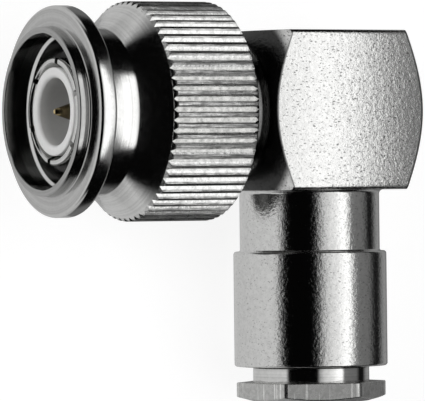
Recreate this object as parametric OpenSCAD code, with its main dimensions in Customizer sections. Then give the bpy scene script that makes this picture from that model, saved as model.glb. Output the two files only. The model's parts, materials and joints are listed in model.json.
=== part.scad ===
// Right-angle coaxial plug with a threaded coupling nut and a clamped cable entry.
// Every piece is drawn upright: the plug axis along X with its mating end towards -X,
// the leg along -Y, and the origin on the plug axis at the root of the outer contact.
// The whole connector is then tilted to lie as it comes to rest, on three points:
// the rear edge of the knurl, the rim of the leg's sleeve and a corner of the block.

/* [Coupling nut] */
// Diameter over the crests of the knurl
knurl_d = 16.4; // [16.1:0.1:17]
// Number of teeth around the knurl
knurl_teeth = 64; // [48:4:72]
// Diameter of the front flange
flange_d = 15.7; // [15:0.1:16]
// Diameter of the waist between the flange and the knurl
waist_d = 12.5; // [12.3:0.1:13]
// Major diameter of the thread that takes the mating connector
thread_d = 11.1; // [11:0.05:11.2]

/* [Block] */
// Side of the square block
block_side = 12; // [11.6:0.1:13]
// Length of the block along the plug axis
block_length = 13.3; // [13.1:0.1:14]
// Diameter of the spigot that the coupling nut turns on
spigot_d = 9.9; // [9.8:0.05:10]

/* [Contacts] */
// Diameter of the slotted outer contact
contact_d = 8; // [7.9:0.05:8]
// Diameter of the centre pin where it mates
pin_d = 1.32; // [1.3:0.02:1.4]
// Diameter of the dielectric's open bore around the pin
dielectric_bore_d = 4.98; // [4.9:0.02:5.1]

/* [Leg] */
// Diameter of the neck of the leg, next to the block
leg_neck_d = 10.6; // [10.2:0.1:10.9]
// Diameter of the sleeve of the leg
sleeve_d = 11.6; // [11.2:0.1:12]
// Length from the plug axis to the end of the sleeve
sleeve_end = 19.3; // [19:0.1:21]

/* [Clamp nut] */
// Width across the flats of the clamp nut
hex_af = 10; // [10:0.1:10.5]
// Diameter of the cable entry
entry_d = 5.5; // [5:0.1:6]
// Angle from the block's side to the nearest flat of the clamp nut
hex_turn = 21; // [15:1:27]

/* [Hidden] */
$fn = 96;
cut = 1;            // how far a cutting tool runs past the face that it cuts
turning_gap = 0.05; // between faces that turn or slide on each other
nut_gap = 0.08;     // radial gap of the coupling nut on its spigot

// Stations of the contacts, along the plug axis from the mating end to the rear
contact_x = -5.4;
contact_edge = 0.15;
contact_tail_length = 3.3;
gasket_x = 0.1;
spigot_x = 0.9;
contact_tail_x = spigot_x + contact_tail_length;
slot_end_x = -1;
dielectric_x = contact_x + 0.05;
dielectric_step_x = -0.3;
pin_x = contact_x + 0.1;
pin_nose_length = 0.9;

// Radii of the contacts and the dielectric
contact_r = contact_d / 2;
contact_tail_r = contact_r - 0.2;
contact_slots = 6;
slot_width = 0.45;
slot_turn = 20;
dielectric_r = 3.28;
contact_bore_r = dielectric_r + 0.05;
chamber_r = dielectric_r + 0.07;
pin_r = pin_d / 2;
pin_shank_r = 1.05;

// Stations of the coupling nut, from its lip to its rear face
lip_lead = 1;
lip_length = 0.9;
flange_length = 1.4;
mouth_depth = 2;
waist_length = 2.65;
shoulder_length = 2.25;
knurl_length = 6.6;
knurl_chamfer = 0.35;
lip_x = contact_x - lip_lead;
flange_x = lip_x + lip_length;
flange_back_x = flange_x + flange_length;
mouth_end_x = lip_x + mouth_depth;
shoulder_x = flange_back_x + waist_length;
knurl_x = shoulder_x + shoulder_length;
knurl_end_x = knurl_x + knurl_length;
nut_end_x = knurl_end_x + knurl_chamfer;
thread_end_x = spigot_x - 0.2;

// Radii and roundings of the coupling nut
spigot_r = spigot_d / 2;
nut_bore_r = spigot_r + nut_gap;
knurl_r = knurl_d / 2;
knurl_depth = 0.28;
flange_r = flange_d / 2;
waist_r = waist_d / 2;
thread_r = thread_d / 2;
mouth_r = thread_r + 0.22;
lip_wall = 0.5;
lip_r = mouth_r + lip_wall;
small_edge = 0.15;
cove_r = 0.5;
flange_round = 0.35;
back_round = 0.25;

// The snap ring, which sits on the floor of the spigot's groove
ring_from_front = 3.45;
ring_length = 0.7;
ring_width = 1.1;
ring_opening = 40;
ring_seat_depth = 0.6;
ring_x = spigot_x + ring_from_front;
ring_end_x = ring_x + ring_length;
ring_seat_r = spigot_r - ring_seat_depth;
ring_r = ring_seat_r + ring_width;

// Stations of the block and of what stands on the leg's axis
block_gap = 2.25;
leg_from_block = 6.5;
block_x = nut_end_x + block_gap;
block_end_x = block_x + block_length;
block_end_step = 0.5;
block_end_r = block_side / 2 - block_end_step;
block_end_slope = 30;
block_edge = 0.25;
leg_x = block_x + leg_from_block;
dielectric_to_leg = 5;
pin_past_leg = 1.1;
pin_slot_lead = 0.6;
dielectric_end_x = leg_x - dielectric_to_leg;
pin_end_x = leg_x + pin_past_leg;
pin_slot_x = leg_x - pin_slot_lead;
pin_slot_width = 0.95;

// The rear cap and the disc in front of it
cap_thickness = 1.8;
cap_sunk = 0.2;
cap_r = 4.2;
cap_end_x = block_end_x - cap_sunk;
cap_x = cap_end_x - cap_thickness;
cap_edge = 0.2;
cap_slot_width = 1;
cap_slot_depth = 0.7;
disc_thickness = 1.7;

// Stations of the leg, down from the plug axis
leg_spigot_length = 2;
neck_length = 4.6;
leg_neck_v = block_side / 2;
leg_spigot_v = leg_neck_v - leg_spigot_length;
sleeve_v = leg_neck_v + neck_length;
seat_to_sleeve = 1.4;
sleeve_to_thread = 0.1;
leg_seat_v = sleeve_v - seat_to_sleeve;
leg_thread_v = sleeve_v + sleeve_to_thread;

// Radii and roundings of the leg
leg_neck_r = leg_neck_d / 2;
leg_spigot_step = 1;
leg_spigot_r = leg_neck_r - leg_spigot_step;
leg_flare = 0.2;
sleeve_r = sleeve_d / 2;
sleeve_round = 0.2;
leg_bore_r = 2;
entry_r = entry_d / 2;
gasket_grip = 0.2;
gasket_wall = 1.65;
stack_gap = 0.25;
gasket_bore_r = entry_r - gasket_grip;
stack_r = gasket_bore_r + gasket_wall;
leg_thread_r = stack_r + stack_gap;
leg_seat_step = 0.9;
leg_seat_r = leg_thread_r - leg_seat_step;

// The clamping parts, down from the plug axis, with their free travel to tight
clamp_travel = 1.1;
braid_tip_gap = 0.6;
braid_flange_gap = 0.1;
braid_flange_length = 0.7;
gasket_length = 2.2;
washer_thickness = 0.6;
braid_tip_v = leg_seat_v + clamp_travel + braid_tip_gap;
braid_flange_v = leg_thread_v + clamp_travel + braid_flange_gap;
gasket_v = braid_flange_v + braid_flange_length;
washer_v = gasket_v + gasket_length;
washer_end_v = washer_v + washer_thickness;
braid_wall = 0.6;
clamp_shank_r = leg_thread_r - turning_gap;
clamp_shank_v = washer_end_v + turning_gap;
hex_v = sleeve_end + clamp_travel + turning_gap;
hex_thickness = 1.5;
clamp_end_v = hex_v + hex_thickness;
hex_r = hex_af / 2 / cos(30);
hex_face_r = hex_af / 2 - 0.7;
hex_face_slope = 15;
hex_back_edge = 0.1;
entry_edge = 0.2;

// The three points that it lies on, with y down the leg and z down through the block
rim_turn = 7.5; // how far to the rear of its lowest line the sleeve's rim touches
rim_x = leg_x + sleeve_r * sin(rim_turn);
rim_y = sleeve_end - sleeve_round;
rim_z = sleeve_r * cos(rim_turn);
corner_y = block_side / 2 - block_edge;
corner_z = block_side / 2;
corner_x = block_end_x - (norm([corner_y, corner_z]) - block_end_r) * tan(block_end_slope);

// The tilt that brings the three points to one level
knurl_to_corner = corner_x - knurl_end_x;
knurl_to_rim = rim_x - knurl_end_x;
level_y = knurl_to_corner * rim_y - knurl_to_rim * corner_y;
level_z = knurl_to_corner * rim_z - knurl_to_rim * corner_z;
level_lift = knurl_r * (knurl_to_corner - knurl_to_rim);
rest_roll = asin(level_lift / norm([level_y, level_z])) - atan2(level_z, level_y);
rim_depth = rim_y * sin(rest_roll) + rim_z * cos(rest_roll);
rest_pitch = atan((knurl_r - rim_depth) / knurl_to_rim);

// Points of an arc in a section, from one angle to another
function arc(centre, radius, from, to, steps = 6) =
    [for (i = [0:steps]) let (a = from + (to - from) * i / steps)
        centre + radius * [cos(a), sin(a)]];

// Lays the upright connector down in its rest pose
module at_rest() {
    rotate([0, rest_pitch, 0]) rotate([rest_roll, 0, 0]) children();
}

// Turns what is drawn along Z to run along the plug axis, from the mating end to the rear
module on_plug(x = 0) {
    translate([x, 0, 0]) rotate([0, 90, 0]) children();
}

// Turns what is drawn along Z to run down the leg
module on_leg(v = 0) {
    translate([leg_x, -v, 0]) rotate([90, 0, 0]) children();
}

// A solid of revolution along Z from a section of [station, radius] points
module turned(section) {
    rotate_extrude() polygon([for (p = section) [p[1], p[0]]]);
}

// A plain ring along Z
module ring(outer, inner, length) {
    difference() {
        cylinder(r = outer, h = length);
        translate([0, 0, -cut]) cylinder(r = inner, h = length + 2 * cut);
    }
}

// A square with its corners rounded
module eased_square(side, corner) {
    square([side, side - 2 * corner], center = true);
    square([side - 2 * corner, side], center = true);
    for (x = [-1, 1], y = [-1, 1])
        translate([x, y] * (side / 2 - corner)) circle(r = corner, $fn = 24);
}

// The V grooves between the knurl's teeth, as one cutting tool along Z
module knurl_grooves(length) {
    reach = 0.2;
    half = asin((knurl_depth + reach) / (knurl_r + reach));
    linear_extrude(length)
        for (i = [0:knurl_teeth - 1])
            rotate(i * 360 / knurl_teeth)
                polygon([[knurl_r - knurl_depth, 0],
                         (knurl_r + reach) * [cos(half), -sin(half)],
                         (knurl_r + reach) * [cos(half), sin(half)]]);
}

// The nut that pulls the two connectors together, free to turn on the spigot
module coupling_nut() {
    lip = [[lip_x, mouth_r], [lip_x, lip_r - small_edge], [lip_x + small_edge, lip_r]];
    cove = arc([flange_x - cove_r, lip_r + cove_r], cove_r, 270, 360);
    front = arc([flange_x, flange_r] + [1, -1] * flange_round, flange_round, 180, 90);
    back = arc([flange_back_x, flange_r] - [1, 1] * back_round, back_round, 90, 0);
    waist = [[flange_back_x, waist_r + back_round], [flange_back_x + back_round, waist_r],
             [shoulder_x, waist_r]];
    knurl = [[knurl_x, knurl_r], [knurl_end_x, knurl_r],
             [nut_end_x, knurl_r - knurl_chamfer]];
    bore = [[nut_end_x, nut_bore_r + small_edge], [nut_end_x - small_edge, nut_bore_r],
            [ring_end_x + turning_gap, nut_bore_r],
            [ring_end_x + turning_gap, ring_r + 2 * turning_gap],
            [ring_x - turning_gap, ring_r + 2 * turning_gap],
            [ring_x - turning_gap, nut_bore_r]];
    thread = [[thread_end_x + thread_r - nut_bore_r, nut_bore_r], [thread_end_x, thread_r],
              [mouth_end_x, thread_r], [mouth_end_x - small_edge, mouth_r]];
    color("silver") at_rest()
        difference() {
            on_plug() turned(concat(lip, cove, front, back, waist, knurl, bore, thread));
            on_plug(shoulder_x) knurl_grooves(nut_end_x - shoulder_x + cut);
        }
}

// The snap ring that keeps the coupling nut on the spigot, open on one side
module retaining_ring() {
    color("darkgray") at_rest()
        on_plug(ring_x)
            rotate_extrude(angle = 360 - ring_opening)
                translate([ring_seat_r, 0]) square([ring_r - ring_seat_r, ring_end_x - ring_x]);
}

// The square block with its front spigot, bored through for the plug and from the side
module angle_block() {
    far_r = block_side;
    run = (far_r - block_end_r) * tan(block_end_slope);
    ends = [[block_x, 0], [block_x, block_end_r], [block_x + run, far_r],
            [block_end_x - run, far_r], [block_end_x, block_end_r], [block_end_x, 0]];
    spigot = [[spigot_x, 0], [spigot_x, spigot_r - small_edge],
              [spigot_x + small_edge, spigot_r], [ring_x, spigot_r],
              [ring_x, ring_seat_r], [ring_end_x, ring_seat_r], [ring_end_x, spigot_r],
              [block_x + cut, spigot_r], [block_x + cut, 0]];
    color("silver") at_rest()
        difference() {
            union() {
                intersection() {
                    on_plug(block_x)
                        linear_extrude(block_length) eased_square(block_side, block_edge);
                    on_plug() turned(ends);
                }
                on_plug() turned(spigot);
            }
            on_plug() cylinder(r = contact_tail_r, h = contact_tail_x);
            on_plug() cylinder(r = chamber_r, h = cap_x);
            on_plug(cap_x - turning_gap)
                cylinder(r = cap_r + turning_gap, h = cap_thickness + cut);
            on_leg() cylinder(r = leg_bore_r, h = leg_spigot_v + cut);
            on_leg(leg_spigot_v) cylinder(r = leg_spigot_r, h = leg_neck_v);
        }
}

// The outer contact, slotted into springy fingers and pressed into the spigot
module outer_contact() {
    body = [[contact_x, contact_bore_r], [contact_x, contact_r - contact_edge],
            [contact_x + contact_edge, contact_r], [0, contact_r], [0, contact_tail_r],
            [contact_tail_x, contact_tail_r], [contact_tail_x, contact_bore_r]];
    color("silver") at_rest()
        difference() {
            on_plug() turned(body);
            for (i = [0:contact_slots - 1])
                rotate([slot_turn + i * 360 / contact_slots, 0, 0])
                    translate([contact_x - cut, -slot_width / 2, 0])
                        cube([slot_end_x - contact_x + cut, slot_width, contact_r + cut]);
        }
}

// The rubber ring that seals the front of the spigot against the mating connector
module front_gasket() {
    color("dimgray") at_rest()
        on_plug(gasket_x) ring(spigot_r, contact_tail_r, spigot_x - gasket_x);
}

// The white dielectric, open around the pin at its front
module front_insulator() {
    body = [[dielectric_x, dielectric_bore_d / 2], [dielectric_x, dielectric_r],
            [contact_tail_x, dielectric_r], [contact_tail_x, chamber_r],
            [dielectric_end_x, chamber_r], [dielectric_end_x, pin_shank_r],
            [dielectric_step_x, pin_shank_r], [dielectric_step_x, dielectric_bore_d / 2]];
    color("white") at_rest() on_plug() turned(body);
}

// The centre pin, with a slot across its rear end for the cable's inner wire
module centre_pin() {
    body = [[pin_x, 0], [pin_x, pin_r / 3], [pin_x + pin_nose_length, pin_r], [dielectric_step_x, pin_r],
            [dielectric_step_x, pin_shank_r], [pin_end_x, pin_shank_r], [pin_end_x, 0]];
    color("gold") at_rest()
        difference() {
            on_plug() turned(body);
            translate([pin_slot_x, -pin_shank_r - cut, -pin_slot_width / 2])
                cube([pin_end_x - pin_slot_x + cut, 2 * (pin_shank_r + cut), pin_slot_width]);
        }
}

// The disc that keeps the cap away from the centre pin
module rear_insulator() {
    color("white") at_rest()
        on_plug(cap_x - turning_gap - disc_thickness)
            cylinder(r = chamber_r - turning_gap, h = disc_thickness);
}

// The slotted cap that screws into the rear of the block
module rear_cap() {
    body = [[cap_x, 0], [cap_x, cap_r - cap_edge], [cap_x + cap_edge, cap_r],
            [cap_end_x - cap_edge, cap_r], [cap_end_x, cap_r - cap_edge], [cap_end_x, 0]];
    color("silver") at_rest()
        difference() {
            on_plug() turned(body);
            translate([cap_end_x - cap_slot_depth, -cap_slot_width / 2, -cap_r])
                cube([cap_slot_depth + cut, cap_slot_width, 2 * cap_r]);
        }
}

// The turned leg, pressed into the block and threaded inside for the clamp nut
module cable_leg() {
    spigot = [[leg_spigot_v, leg_bore_r], [leg_spigot_v, leg_spigot_r],
              [leg_neck_v, leg_spigot_r]];
    neck = [[leg_neck_v, leg_neck_r + leg_flare], [leg_neck_v + leg_flare, leg_neck_r],
            [sleeve_v, leg_neck_r]];
    top = arc([sleeve_v, sleeve_r] + [1, -1] * sleeve_round, sleeve_round, 180, 90);
    end = arc([sleeve_end, sleeve_r] - [1, 1] * sleeve_round, sleeve_round, 90, 0);
    bore = [[sleeve_end, leg_thread_r + small_edge], [sleeve_end - small_edge, leg_thread_r],
            [leg_thread_v, leg_thread_r], [leg_thread_v, leg_seat_r],
            [leg_seat_v, leg_seat_r], [leg_seat_v, leg_bore_r]];
    color("silver") at_rest() on_leg() turned(concat(spigot, neck, top, end, bore));
}

// The ferrule that the cable's braid is folded over
module braid_clamp() {
    body = [[braid_tip_v, leg_bore_r], [braid_tip_v, leg_bore_r + braid_wall],
            [braid_flange_v, leg_bore_r + 2 * braid_wall], [braid_flange_v, stack_r], [gasket_v, stack_r],
            [gasket_v, leg_bore_r]];
    color("silver") at_rest() on_leg() turned(body);
}

// The rubber sleeve that is squeezed around the cable's jacket
module cable_gasket() {
    color("dimgray") at_rest()
        on_leg(gasket_v) ring(stack_r, gasket_bore_r, gasket_length);
}

// The washer between the turning nut and the rubber
module thrust_washer() {
    color("silver") at_rest()
        on_leg(washer_v) ring(stack_r, entry_r + turning_gap, washer_thickness);
}

// The hexagon nut that screws into the leg and clamps the cable
module clamp_nut() {
    far = 2 * hex_r;
    shank = [[clamp_shank_v, 0], [clamp_shank_v, clamp_shank_r - small_edge],
             [clamp_shank_v + small_edge, clamp_shank_r], [hex_v + cut, clamp_shank_r],
             [hex_v + cut, 0]];
    dome = [[hex_v, 0], [hex_v, hex_r - hex_back_edge], [hex_v + hex_back_edge, hex_r],
            [hex_v + hex_back_edge, far],
            [clamp_end_v - (far - hex_face_r) * tan(hex_face_slope), far],
            [clamp_end_v, hex_face_r], [clamp_end_v, 0]];
    hole = [[clamp_shank_v - cut, 0], [clamp_shank_v - cut, entry_r],
            [clamp_end_v - entry_edge, entry_r],
            [clamp_end_v + cut, entry_r + entry_edge + cut], [clamp_end_v + cut, 0]];
    color("silver") at_rest()
        difference() {
            union() {
                on_leg() turned(shank);
                intersection() {
                    on_leg(hex_v)
                        rotate(hex_turn) cylinder(r = hex_r, h = hex_thickness, $fn = 6);
                    on_leg() turned(dome);
                }
            }
            on_leg() turned(hole);
        }
}

angle_block();
cable_leg();
coupling_nut();
retaining_ring();
outer_contact();
front_gasket();
front_insulator();
centre_pin();
rear_insulator();
rear_cap();
braid_clamp();
cable_gasket();
thrust_washer();
clamp_nut();
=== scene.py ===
"""A right-angle coaxial plug: nickel-plated block, leg, knurled coupling nut and clamp nut.

Every piece is made upright, with the plug axis along X and the leg along -Y, in millimetres.
The frame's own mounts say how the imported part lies, and each finished mesh is laid the same way.
"""

import json
import math

import bmesh
import bpy
from mathutils import Matrix, Vector


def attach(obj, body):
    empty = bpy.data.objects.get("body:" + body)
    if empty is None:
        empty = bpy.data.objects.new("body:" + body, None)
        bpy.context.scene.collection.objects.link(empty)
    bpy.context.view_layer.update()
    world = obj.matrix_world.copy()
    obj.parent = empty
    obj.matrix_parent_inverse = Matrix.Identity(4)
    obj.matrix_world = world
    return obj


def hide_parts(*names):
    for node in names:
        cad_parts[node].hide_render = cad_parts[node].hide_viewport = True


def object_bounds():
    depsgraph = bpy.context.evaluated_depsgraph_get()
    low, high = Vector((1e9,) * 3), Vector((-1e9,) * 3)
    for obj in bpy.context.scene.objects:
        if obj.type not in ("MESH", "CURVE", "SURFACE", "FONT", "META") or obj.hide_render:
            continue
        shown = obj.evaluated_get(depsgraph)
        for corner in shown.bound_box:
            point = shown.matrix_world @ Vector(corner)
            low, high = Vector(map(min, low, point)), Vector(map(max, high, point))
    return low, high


bl_info = {
    "name": "Right-angle coaxial plug",
    "version": (1, 0, 0),
    "blender": (4, 5, 0),
    "location": "View3D > Sidebar > Plug",
    "description": "Builds the looks of a right-angle coaxial plug around its packed solids",
    "category": "Object",
}

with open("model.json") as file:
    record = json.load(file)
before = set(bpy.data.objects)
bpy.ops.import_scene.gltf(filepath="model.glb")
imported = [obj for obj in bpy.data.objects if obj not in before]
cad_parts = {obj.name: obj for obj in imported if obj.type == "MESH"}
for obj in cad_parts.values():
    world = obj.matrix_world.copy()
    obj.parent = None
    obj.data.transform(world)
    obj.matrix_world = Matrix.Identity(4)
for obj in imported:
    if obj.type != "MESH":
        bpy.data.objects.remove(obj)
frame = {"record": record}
cad_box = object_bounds()

MM = 0.001
PICTURE = (425, 401)

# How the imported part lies: the plug axis and the leg axis, from its mounts
MOUNTS = {m["name"]: m for m in frame["record"]["mounts"]}
ALONG_X = -Vector(MOUNTS["plug_contact"]["axis"]).normalized()
ALONG_Y = -Vector(MOUNTS["cable_entry"]["axis"]).normalized()
ALONG_Z = ALONG_X.cross(ALONG_Y).normalized()
LAID = Matrix((ALONG_X, ALONG_Y, ALONG_Z)).transposed()

# The place of the leg's axis, and the frames that a turned piece is drawn in
LEG_X = 16.5
PLUG_FRAME = Matrix(((0, 0, 1), (0, 1, 0), (-1, 0, 0))).to_4x4()
LEG_FRAME = Matrix.Translation((LEG_X, 0, 0)) @ Matrix(((1, 0, 0), (0, 0, -1), (0, 1, 0))).to_4x4()


def length(name, description, default):
    """A size in millimetres that a user can change."""
    return bpy.props.FloatProperty(name=name, description=description, default=default, min=0.01)


def tone(name, description, default):
    """A colour that a user can change."""
    return bpy.props.FloatVectorProperty(
        name=name, description=description, default=default, subtype="COLOR", min=0.0, max=1.0
    )


def share(name, description, default):
    """A value between none and full that a user can change."""
    return bpy.props.FloatProperty(
        name=name, description=description, default=default, subtype="FACTOR", min=0.0, max=1.0
    )


class PlugNutSizes(bpy.types.PropertyGroup):
    """Sizes of the coupling nut, in millimetres."""

    knurl_r: length("Knurl radius", "Radius over the crests of the knurl", 8.2)
    knurl_depth: length("Knurl depth", "Depth of the grooves between the teeth", 0.28)
    teeth: bpy.props.IntProperty(
        name="Teeth", description="Number of teeth around the knurl", default=64, min=12
    )
    flange_r: length("Flange radius", "Radius of the front flange", 7.85)
    waist_r: length("Waist radius", "Radius between the flange and the knurl", 6.25)
    mouth_r: length("Mouth radius", "Radius of the nut's mouth", 5.77)
    thread_r: length("Thread radius", "Major radius of the nut's thread", 5.55)
    thread_pitch: length("Thread pitch", "Pitch of the nut's thread", 0.907)


class PlugBodySizes(bpy.types.PropertyGroup):
    """Sizes of the block and its leg, in millimetres."""

    block_side: length("Block side", "Side of the square block", 12.0)
    block_edge: length("Block edge", "Rounding along the block's edges", 0.38)
    spigot_r: length("Spigot radius", "Radius of the spigot that the nut turns on", 4.95)
    neck_r: length("Neck radius", "Radius of the leg's neck", 5.3)
    sleeve_r: length("Sleeve radius", "Radius of the leg's sleeve", 5.8)
    clamp_pitch: length("Clamp pitch", "Pitch of the clamp nut's thread", 0.75)


class PlugContactSizes(bpy.types.PropertyGroup):
    """Sizes of the contacts and the dielectric, in millimetres."""

    contact_r: length("Contact radius", "Radius of the slotted outer contact", 4.0)
    fingers: bpy.props.IntProperty(
        name="Fingers", description="Number of springy fingers", default=6, min=3
    )
    slot_width: length("Slot width", "Width of the slots between the fingers", 0.45)
    dielectric_r: length("Dielectric radius", "Outer radius of the white dielectric", 3.28)
    dielectric_bore_r: length("Dielectric bore", "Radius of its open front", 2.49)
    pin_r: length("Pin radius", "Radius of the centre pin where it mates", 0.66)


class PlugFinishes(bpy.types.PropertyGroup):
    """Colours and roughness of the finishes."""

    nickel: tone("Nickel", "Colour of the nickel plating", (0.72, 0.72, 0.71))
    nickel_roughness: share("Nickel roughness", "Roughness of the turned nickel", 0.09)
    tumbled_roughness: share("Tumbled roughness", "Roughness of the tumbled block", 0.13)
    dielectric: tone("Dielectric", "Colour of the white dielectric", (0.92, 0.92, 0.91))
    rubber: tone("Rubber", "Colour of the gaskets", (0.3, 0.3, 0.3))
    gold: tone("Pin", "Colour of the plated centre pin", (0.62, 0.49, 0.27))


GROUPS = {
    "plug_nut": PlugNutSizes,
    "plug_body": PlugBodySizes,
    "plug_contacts": PlugContactSizes,
    "plug_finishes": PlugFinishes,
}

# The materials by their short names, which the first step fills in
FINISHES = {}


def settings(name):
    """The scene's values of one group."""
    return getattr(bpy.context.scene, name)


# Stations along the plug axis, in millimetres from the origin
LIP_X, FLANGE_X, FLANGE_BACK_X, MOUTH_END_X = -6.4, -5.5, -4.1, -4.4
SHOULDER_X, KNURL_X, KNURL_END_X, NUT_END_X = -1.45, 0.8, 7.4, 7.75
RING_X, RING_END_X, RING_SEAT_R, RING_R = 4.35, 5.05, 4.35, 5.45
BLOCK_X, BLOCK_END_X = 10.0, 23.3
CONTACT_X, TAIL_END_X, SLOT_END_X = -5.4, 4.2, -1.0
GASKET_X, SPIGOT_X = 0.1, 0.9
CAP_X, CAP_END_X = 21.3, 23.1
TURNING_GAP, NUT_GAP = 0.05, 0.08

# Radii inside the block and the leg, in millimetres
CONTACT_BORE_R, TAIL_R, CHAMBER_R, CAP_R, PIN_SHANK_R = 3.33, 3.8, 3.35, 4.2, 1.05
BLOCK_END_R, BLOCK_END_SLOPE = 5.5, math.tan(math.radians(30))
LEG_SPIGOT_R, LEG_BORE_R, LEG_SEAT_R, LEG_THREAD_R = 4.3, 2.0, 3.55, 4.45
ENTRY_R, STACK_R = 2.75, 4.2

# Stations down the leg, in millimetres from the plug axis
LEG_SPIGOT_V, NECK_V, SLEEVE_V, SLEEVE_END_V = 4.0, 6.0, 10.6, 19.3
SEAT_V, LEG_THREAD_V = 9.2, 10.7
BRAID_TIP_V, BRAID_FLANGE_V, GASKET_V, WASHER_V, WASHER_END_V = 10.9, 11.9, 12.6, 14.8, 15.4
HEX_V, CLAMP_END_V, HEX_AF, HEX_TURN = 20.45, 21.95, 10.0, 21.0
HEX_FACE_R, HEX_SLOPE = 4.3, math.tan(math.radians(15))
HEX_SEGMENTS = 240

# Thread ridges: the share of the pitch that the ridge takes at its root and at its crest
RIDGE_ROOT, RIDGE_CREST = 0.8, 0.14

# Painted shade: where it starts and ends along the plug, and how bright it leaves the finish
NUT_SHADES = ((LIP_X - 1, FLANGE_X - 0.1, 0.6), (KNURL_END_X + 0.2, BLOCK_X + 0.35, 0.35))
PIN_SHADES = ((CONTACT_X + 0.42, BLOCK_END_X, 0.3),)
BORE_SHADE = (CONTACT_X + 0.2, CONTACT_X + 1.2, 0.72)

# The painted shade on the block's ends: dark lines that lie inside its edges and fade over a
# distance, and the front cone beside the nut, painted dark but bright from a radius on, all in
# millimetres, with what brightness is left
EDGE_LINE_IN, EDGE_LINE, EDGE_LINE_LEFT = 0.1, (0.04, 0.09), 0.3
CONE_BLUR, CONE_CORNER, CONE_LEFT = 0.07, (7.2, 7.9), 0.07

# How far below the knurl's crests their worn and stained finish begins
CREST_DEPTH = 0.14


def fillet(corner, radius, start, end, steps=8):
    """Points that round a square corner of a section of (station, radius) points.

    The angles say where the arc starts and ends around its centre, in degrees.
    """
    angles = [math.radians(start + (end - start) * i / steps) for i in range(steps + 1)]
    x = corner[0] - radius * (math.cos(angles[0]) + math.cos(angles[-1]))
    y = corner[1] - radius * (math.sin(angles[0]) + math.sin(angles[-1]))
    return [(x + radius * math.cos(a), y + radius * math.sin(a)) for a in angles]


def around(section, angle):
    """The points of a section of (station, radius) points at an angle around Z."""
    return [(r * math.cos(angle), r * math.sin(angle), s) for s, r in section]


def tube(start, end, inner, outer):
    """The section of a plain ring or disc, from one station to another."""
    return [(start, inner), (start, outer), (end, outer), (end, inner)]


def eased(section, radius, steps=4):
    """The section with its corners rounded, as far as its shortest sides allow."""
    out = []
    for i, point in enumerate(section):
        here = Vector(point)
        before, after = Vector(section[i - 1]), Vector(section[(i + 1) % len(section)])
        back, on = before - here, after - here
        short = min(back.length, on.length) < 1e-6
        on_axis = min(here.y, before.y, after.y) < 1e-6
        bend = math.pi if short or on_axis else back.angle(on)
        if bend > math.radians(165):
            out.append(tuple(here))
            continue
        cut = min(radius / math.tan(bend / 2), 0.45 * back.length, 0.45 * on.length)
        first, last = here + back.normalized() * cut, here + on.normalized() * cut
        for k in range(steps + 1):
            s = k / steps
            out.append(tuple(first * (1 - s) ** 2 + here * 2 * s * (1 - s) + last * s**2))
    return out


def points_of(mesh, rows):
    """The rows of points, added to a mesh."""
    return [[mesh.verts.new(point) for point in row] for row in rows]


def bridge(mesh, here, after, sides):
    """Adds quads between two rows of a mesh's points, for each of the given sides."""
    for j in sides:
        k = (j + 1) % len(here)
        mesh.faces.new([here[j], here[k], after[k], after[j]])


def clean(mesh):
    """Takes double points and collapsed faces out of a mesh."""
    bmesh.ops.remove_doubles(mesh, verts=mesh.verts, dist=1e-5)
    bmesh.ops.dissolve_degenerate(mesh, edges=mesh.edges, dist=1e-6)


def skin(rings):
    """A mesh from rings of points: quads between neighbours, around and along."""
    mesh = bmesh.new()
    grid = points_of(mesh, rings)
    for i, ring in enumerate(grid):
        bridge(mesh, ring, grid[(i + 1) % len(grid)], range(len(ring)))
    clean(mesh)
    bmesh.ops.recalc_face_normals(mesh, faces=mesh.faces)
    return mesh


def turned(section, segments=192):
    """A solid of revolution along Z from a closed section."""
    return skin([around(section, 2 * math.pi * i / segments) for i in range(segments)])


def linked(name, data):
    """An object of the scene that shows some data."""
    made = bpy.data.objects.new(name, data)
    bpy.context.scene.collection.objects.link(made)
    return made


def as_object(name, mesh):
    """An object of the scene from a bmesh, which is freed."""
    data = bpy.data.meshes.new(name)
    mesh.to_mesh(data)
    mesh.free()
    return linked(name, data)


def placed(name, mesh, where, smooth_deg=35):
    """An object whose mesh is laid down with the part, in metres, smooth up to an angle."""
    mesh.transform(Matrix.Scale(MM, 4) @ LAID.to_4x4() @ where)
    piece = as_object(name, mesh)
    smooth(piece, smooth_deg)
    return piece


def smooth(piece, smooth_deg):
    """Shades the piece smooth, with sharp edges where faces meet at more than the angle."""
    mesh = bmesh.new()
    mesh.from_mesh(piece.data)
    limit = math.radians(smooth_deg)
    for edge in mesh.edges:
        edge.smooth = len(edge.link_faces) == 2 and edge.calc_face_angle(0) < limit
    for face in mesh.faces:
        face.smooth = True
    mesh.to_mesh(piece.data)
    mesh.free()


def evaluated(piece):
    """A mesh of the piece as its modifiers make it."""
    graph = bpy.context.evaluated_depsgraph_get()
    return bpy.data.meshes.new_from_object(piece.evaluated_get(graph))


def cut_away(piece, cutter, smooth_deg):
    """Cuts one piece by another, deletes the other and shades the first smooth again."""
    change = piece.modifiers.new("change", "BOOLEAN")
    change.operation = "DIFFERENCE"
    change.solver = "EXACT"
    change.object = cutter
    baked = evaluated(piece)
    piece.modifiers.clear()
    piece.data = baked
    bpy.data.objects.remove(cutter)
    smooth(piece, smooth_deg)


def slot_box(name, station, size):
    """A box around a station of the plug's axis."""
    mesh = bmesh.new()
    bmesh.ops.create_cube(mesh, size=1.0)
    mesh.transform(Matrix.Translation((station, 0, 0)) @ Matrix.Diagonal((*size, 1)))
    return placed(name, mesh, Matrix.Identity(4))


def seat(piece, body, slot, finish, *nodes):
    """Gives a finished piece its body and its material, and hides the nodes that it stands for;
    slot is not used.
    """
    piece.data.materials.clear()
    piece.data.materials.append(FINISHES[finish])
    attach(piece, body)
    if nodes:
        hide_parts(*nodes)


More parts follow.
